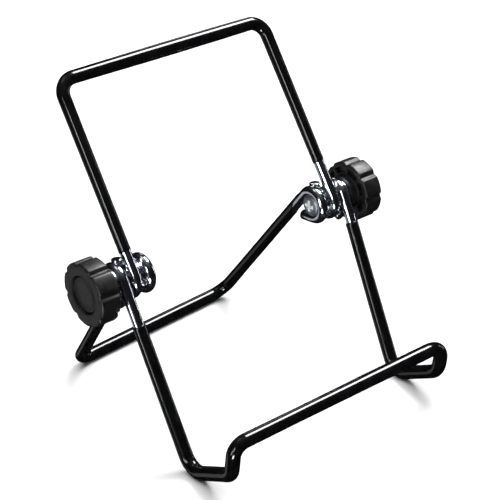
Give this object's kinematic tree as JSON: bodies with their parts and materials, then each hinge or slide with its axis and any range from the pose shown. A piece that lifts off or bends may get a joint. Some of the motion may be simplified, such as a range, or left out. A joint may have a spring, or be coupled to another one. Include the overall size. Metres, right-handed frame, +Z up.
{
  "type": "folding wire book stand",
  "caption": "Folding book display stand of bent, vinyl-coated wire frames that turn on clamping screws with lobed hand knobs.",
  "frame": {"origin": "middle of the bounding box on the floor, with the stand open as in use", "axes": "+X to the right along the screws, +Y to the back, where the rear support stands, +Z up"},
  "size_m": [0.166, 0.1584, 0.1645],
  "materials": {
    "bright_wire": "bright plated",
    "black_vinyl": "gloss",
    "zinc_screw": "zinc plated",
    "steel_washer": "bright plated",
    "black_knob": "satin"
  },
  "bodies": {
    "lower_frame": {"lower_frame_wire": "bright_wire", "lower_frame_coat": "black_vinyl", "left_screw": "zinc_screw", "left_inner_tooth_washer": "steel_washer", "left_spacer_washer": "zinc_screw", "left_middle_tooth_washer": "steel_washer", "left_outer_tooth_washer": "steel_washer", "right_screw": "zinc_screw", "right_inner_tooth_washer": "steel_washer", "right_spacer_washer": "zinc_screw", "right_middle_tooth_washer": "steel_washer", "right_outer_tooth_washer": "steel_washer"},
    "upper_frame": {"upper_frame_wire": "bright_wire", "upper_frame_coat": "black_vinyl"},
    "rear_support": {"rear_support_wire": "bright_wire", "rear_support_coat": "black_vinyl"},
    "left_knob_travel": {"left_knob_washer": "steel_washer"},
    "left_knob": {"left_knob": "black_knob", "left_knob_nut": "zinc_screw", "left_knob_cap": "black_knob"},
    "right_knob_travel": {"right_knob_washer": "steel_washer"},
    "right_knob": {"right_knob": "black_knob", "right_knob_nut": "zinc_screw", "right_knob_cap": "black_knob"}
  },
  "joints": [
    {"name": "upper_frame_tilt", "type": "hinge", "parent": "lower_frame", "child": "upper_frame", "pos_m": [0, 0.00266, 0.08], "axis": [1, 0, 0], "range_deg": [-60, 130]},
    {"name": "rear_support_swing", "type": "hinge", "parent": "lower_frame", "child": "rear_support", "pos_m": [0, 0.00266, 0.08], "axis": [1, 0, 0], "range_deg": [-85, 35]},
    {"name": "left_knob_back_off", "type": "slide", "parent": "lower_frame", "child": "left_knob_travel", "axis": [-1, 0, 0], "range_m": [0, 0.00125]},
    {"name": "left_knob_turn", "type": "hinge", "parent": "left_knob_travel", "child": "left_knob", "pos_m": [-0.076, 0.00266, 0.08], "axis": [-1, 0, 0], "range_deg": [0, 540]},
    {"name": "right_knob_back_off", "type": "slide", "parent": "lower_frame", "child": "right_knob_travel", "axis": [1, 0, 0], "range_m": [0, 0.00125]},
    {"name": "right_knob_turn", "type": "hinge", "parent": "right_knob_travel", "child": "right_knob", "pos_m": [0.076, 0.00266, 0.08], "axis": [1, 0, 0], "range_deg": [0, 540]}
  ],
  "couplings": [
    {"joint": "left_knob_back_off", "follows": "left_knob_turn", "m_per_rad": 0.00012732},
    {"joint": "right_knob_back_off", "follows": "right_knob_turn", "m_per_rad": 0.00012732}
  ]
}
